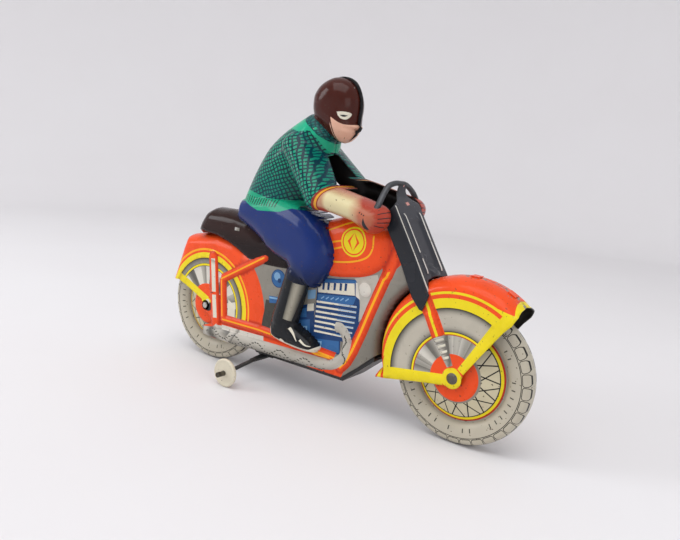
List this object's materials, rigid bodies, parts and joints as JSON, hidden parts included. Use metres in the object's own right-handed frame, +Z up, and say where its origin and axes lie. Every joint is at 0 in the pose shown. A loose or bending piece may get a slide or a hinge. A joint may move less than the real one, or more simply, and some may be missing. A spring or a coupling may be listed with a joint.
{
  "type": "wind-up tin motorcycle with rider",
  "caption": "Wind-up tin motorcycle with a masked rider: pressed body halves, spinning road wheels, side steadying wheels and a key-wound clockwork that drives the rear wheel.",
  "frame": {"origin": "on the floor, midway between the two axles, on the seam plane of the pressed halves", "axes": "+X forwards (towards the front wheel), +Y to the rider's left, +Z up"},
  "size_m": [0.1968, 0.0668, 0.1433],
  "materials": {
    "print_orange": "glossy lithographed tin",
    "print_yellow": "glossy lithographed tin",
    "print_grey": "glossy lithographed tin",
    "seat_lacquer": "glossy dark brown lacquer",
    "tyre_print": "satin cream lithographed tin",
    "rider_print": "glossy lithographed tin",
    "black_lacquer": "satin black lacquer",
    "bright_tin": "bright tinplate",
    "spring_steel": "blued spring steel",
    "gear_brass": "brass",
    "cream_wheel": "cream moulded disc"
  },
  "bodies": {
    "frame": {"body_shell_right": "print_orange", "body_shell_left": "print_orange", "belly_plate": "black_lacquer", "seat_cover": "seat_lacquer", "seam_tabs": "bright_tin", "front_guard_right": "print_yellow", "front_guard_left": "print_yellow", "guard_crest_tabs": "print_orange", "fork_cover": "print_grey", "steering_post": "bright_tin", "handlebar": "print_grey", "front_axle": "bright_tin", "rear_axle_bushes": "black_lacquer", "motor_plate_right": "bright_tin", "motor_plate_left": "bright_tin", "motor_pillars": "bright_tin", "mainspring": "spring_steel", "idler_studs": "bright_tin", "outrigger_bracket": "black_lacquer", "outrigger_pins": "bright_tin", "rider_right": "rider_print", "rider_left": "rider_print", "rider_tabs": "bright_tin"},
    "rear_wheel": {"rear_wheel_right": "tyre_print", "rear_wheel_left": "tyre_print", "rear_axle": "bright_tin", "rear_gear": "gear_brass"},
    "front_wheel": {"front_wheel_right": "tyre_print", "front_wheel_left": "tyre_print", "front_hub_tube": "bright_tin"},
    "outrigger_right": {"outrigger_wheel_right": "cream_wheel"},
    "outrigger_left": {"outrigger_wheel_left": "cream_wheel"},
    "winder": {"winding_arbor": "bright_tin", "ratchet_wheel": "gear_brass", "winding_key": "bright_tin"},
    "great_wheel": {"great_wheel": "gear_brass", "ratchet_click": "spring_steel"},
    "second_mover": {"second_arbor": "bright_tin", "second_pinion": "gear_brass", "second_wheel": "gear_brass"},
    "idler_front": {"idler_gear_front": "gear_brass"},
    "idler_rear": {"idler_gear_rear": "gear_brass"},
    "governor": {"governor_arbor": "bright_tin", "governor_pinion": "gear_brass", "governor_fan": "gear_brass"}
  },
  "joints": [
    {"name": "rear_wheel_spin", "type": "hinge", "parent": "frame", "child": "rear_wheel", "pos_m": [-0.06945, 0, 0.029], "axis": [0, 1, 0], "continuous": true},
    {"name": "front_wheel_spin", "type": "hinge", "parent": "frame", "child": "front_wheel", "pos_m": [0.06945, 0, 0.029], "axis": [0, 1, 0], "continuous": true},
    {"name": "outrigger_right_spin", "type": "hinge", "parent": "frame", "child": "outrigger_right", "pos_m": [-0.0346, -0.0284, 0.00666], "axis": [0, 1, 0], "continuous": true},
    {"name": "outrigger_left_spin", "type": "hinge", "parent": "frame", "child": "outrigger_left", "pos_m": [-0.0346, 0.0284, 0.00666], "axis": [0, 1, 0], "continuous": true},
    {"name": "key_turn", "type": "hinge", "parent": "frame", "child": "winder", "pos_m": [0.01, 0, 0.036], "axis": [0, 1, 0], "continuous": true, "deforming": ["mainspring"]},
    {"name": "idler_rear_spin", "type": "hinge", "parent": "frame", "child": "idler_rear", "pos_m": [-0.04917, 0, 0.03517], "axis": [0, 1, 0], "continuous": true},
    {"name": "idler_front_spin", "type": "hinge", "parent": "frame", "child": "idler_front", "pos_m": [-0.03082, 0, 0.03656], "axis": [0, 1, 0], "continuous": true},
    {"name": "second_mover_spin", "type": "hinge", "parent": "frame", "child": "second_mover", "pos_m": [-0.00984, 0, 0.0335], "axis": [0, 1, 0], "continuous": true},
    {"name": "great_wheel_spin", "type": "hinge", "parent": "frame", "child": "great_wheel", "pos_m": [0.01, 0, 0.036], "axis": [0, 1, 0], "continuous": true},
    {"name": "governor_spin", "type": "hinge", "parent": "frame", "child": "governor", "pos_m": [-0.01505, 0, 0.04863], "axis": [0, 1, 0], "continuous": true}
  ],
  "couplings": [
    {"joint": "idler_rear_spin", "follows": "rear_wheel_spin", "ratio": -1.3043},
    {"joint": "idler_front_spin", "follows": "rear_wheel_spin", "ratio": 1.3043},
    {"joint": "second_mover_spin", "follows": "rear_wheel_spin", "ratio": -1},
    {"joint": "great_wheel_spin", "follows": "rear_wheel_spin", "ratio": 0.25},
    {"joint": "governor_spin", "follows": "rear_wheel_spin", "ratio": 3}
  ]
}
